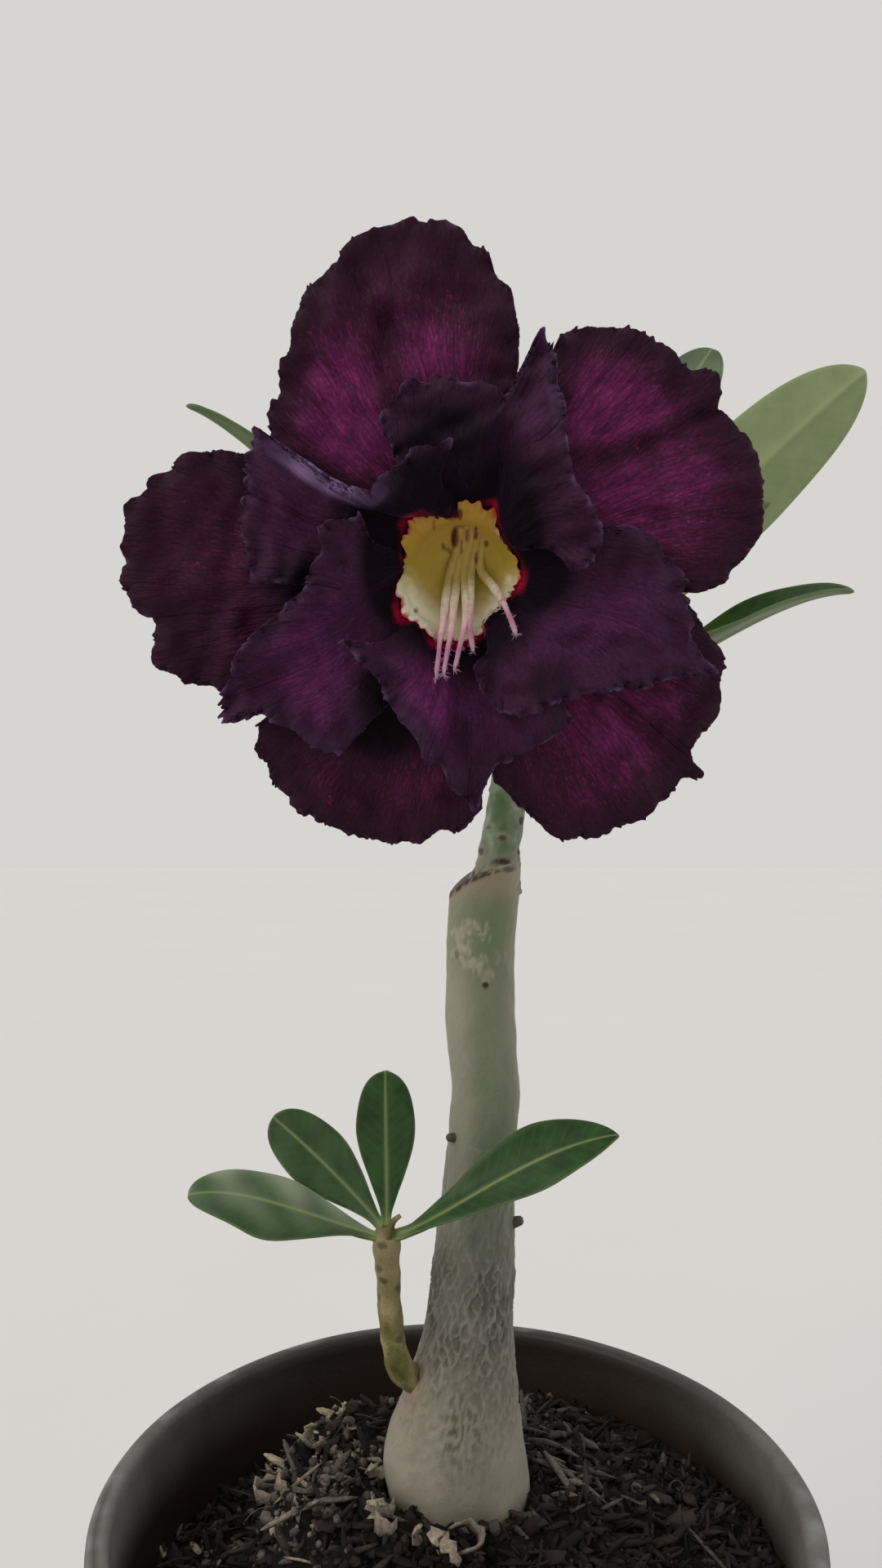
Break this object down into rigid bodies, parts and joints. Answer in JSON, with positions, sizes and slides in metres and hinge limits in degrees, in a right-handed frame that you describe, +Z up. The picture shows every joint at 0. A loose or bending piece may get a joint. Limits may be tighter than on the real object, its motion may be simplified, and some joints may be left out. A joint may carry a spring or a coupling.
{
  "type": "potted desert rose adenium",
  "caption": "Grafted desert rose in a round nursery pot: swollen base, thin side shoot, leafy scion and a large double bloom on a nodding stalk.",
  "frame": {"origin": "middle of the flat underside of the pot, on the surface that it stands on", "axes": "+Z up along the pot's axis, the bloom faces -Y, the large pale leaf reaches out to +X"},
  "size_m": [0.1372, 0.1291, 0.3158],
  "materials": {
    "pot_plastic": "moulded polypropylene, dusty",
    "potting_mix": "damp coir, bark and husk chips",
    "grey_bark": "smooth grey-green bark with a fine net of fissures",
    "green_bark": "smooth green bark with leaf scars",
    "shoot_bark": "olive young stem with brown scars",
    "leaf_green": "satin waxy leaf, pale midrib",
    "leaf_pale": "matt pale leaf underside",
    "calyx_green": "soft green, finely hairy",
    "outer_petal": "velvety magenta petal with a near-black purple edge",
    "inner_petal": "velvety dark purple petal",
    "throat_yellow": "soft yellow throat with reddish lines",
    "thread_pink": "pale hairy threads"
  },
  "bodies": {
    "root": {"pot": "pot_plastic", "soil": "potting_mix", "rootstock": "grey_bark", "scion_stem": "green_bark", "side_shoot": "shoot_bark", "shoot_leaf_left": "leaf_green", "shoot_leaf_upper_left": "leaf_green", "shoot_leaf_top": "leaf_green", "shoot_leaf_right": "leaf_green", "scion_leaf_large": "leaf_pale", "scion_leaf_rounded": "leaf_green", "scion_leaf_curled": "leaf_green", "scion_leaf_short": "leaf_green", "scion_leaf_hooked": "leaf_green", "scion_leaf_back_left": "leaf_green", "scion_leaf_back": "leaf_green", "scion_leaf_back_right": "leaf_green", "flower_stalk": "calyx_green", "corolla_outer": "outer_petal", "corolla_inner": "inner_petal", "throat_lining": "throat_yellow", "stamens": "thread_pink", "calyx": "calyx_green"}
  },
  "joints": []
}
